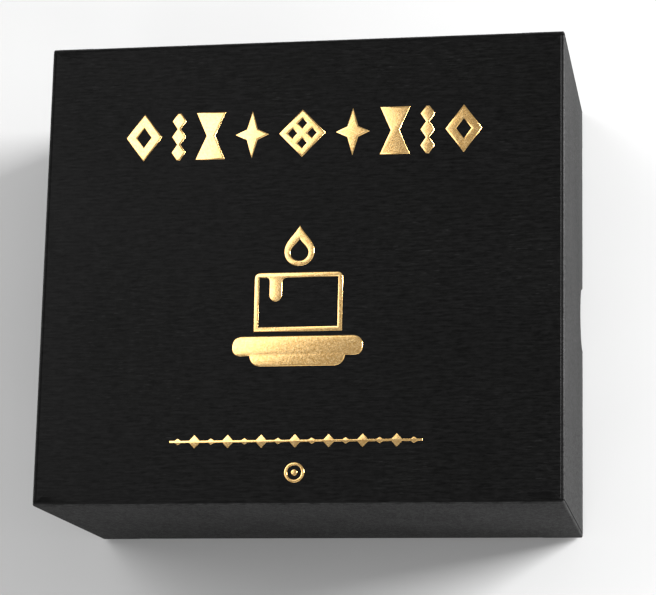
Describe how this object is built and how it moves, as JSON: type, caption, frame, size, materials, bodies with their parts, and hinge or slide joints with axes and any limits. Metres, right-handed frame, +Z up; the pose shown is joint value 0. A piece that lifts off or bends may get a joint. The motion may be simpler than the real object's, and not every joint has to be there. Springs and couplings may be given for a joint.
{
  "type": "lift-off lid presentation box",
  "caption": "Black rigid gift box with a full-depth lift-off lid, gold foil ornament, thumb notches, and a foam insert holding a candle on a round base.",
  "frame": {"origin": "middle of the underside of the closed box", "axes": "+Z up through the lid, +X towards the right wall, -Y towards the front wall, the foot of the lid's picture"},
  "size_m": [0.16, 0.144, 0.0801],
  "materials": {
    "black_wrap": "matte",
    "greyboard": "matte",
    "stay_tape": "matte",
    "black_lining": "matte",
    "gold_foil": "satin",
    "foam": "matte",
    "flock": "matte",
    "black_lacquer": "satin",
    "brass_band": "satin",
    "felt": "matte",
    "black_cup": "satin",
    "wax": "satin",
    "tin": "satin",
    "cotton": "matte"
  },
  "bodies": {
    "tray": {"foam_block": "foam", "foam_cover": "flock", "foam_pad": "foam", "tray_base_sheet": "black_lining", "tray_board": "greyboard", "tray_stay_back_left": "stay_tape", "tray_stay_back_right": "stay_tape", "tray_stay_front_left": "stay_tape", "tray_stay_front_right": "stay_tape", "tray_wrap": "black_wrap"},
    "lid": {"foil_mark_dot": "gold_foil", "foil_mark_ring": "gold_foil", "foil_rule": "gold_foil", "foil_sign_candle": "gold_foil", "foil_sign_flame": "gold_foil", "foil_sign_foot": "gold_foil", "foil_title_1": "gold_foil", "foil_title_2": "gold_foil", "foil_title_3": "gold_foil", "foil_title_4": "gold_foil", "foil_title_5": "gold_foil", "foil_title_6": "gold_foil", "foil_title_7": "gold_foil", "foil_title_8": "gold_foil", "foil_title_9": "gold_foil", "lid_board": "greyboard", "lid_lining": "black_lining", "lid_stay_back_left": "stay_tape", "lid_stay_back_right": "stay_tape", "lid_stay_front_left": "stay_tape", "lid_stay_front_right": "stay_tape", "lid_wrap": "black_wrap"},
    "base": {"base_band": "brass_band", "base_body": "black_lacquer", "base_felt": "felt"},
    "candle": {"candle_cup": "black_cup", "wax": "wax", "wick_clip": "tin", "wick": "cotton"}
  },
  "joints": [
    {"name": "lid_lift", "type": "slide", "parent": "tray", "child": "lid", "axis": [0, 0, 1], "range_m": [0, 0.084]},
    {"name": "base_lift", "type": "slide", "parent": "tray", "child": "base", "axis": [0, 0, 1], "range_m": [0, 0.0336]},
    {"name": "candle_lift", "type": "slide", "parent": "base", "child": "candle", "axis": [0, 0, 1], "range_m": [0, 0.0168]}
  ],
  "couplings": [
    {"joint": "base_lift", "follows": "lid_lift", "ratio": 0.4},
    {"joint": "candle_lift", "follows": "lid_lift", "ratio": 0.2}
  ]
}
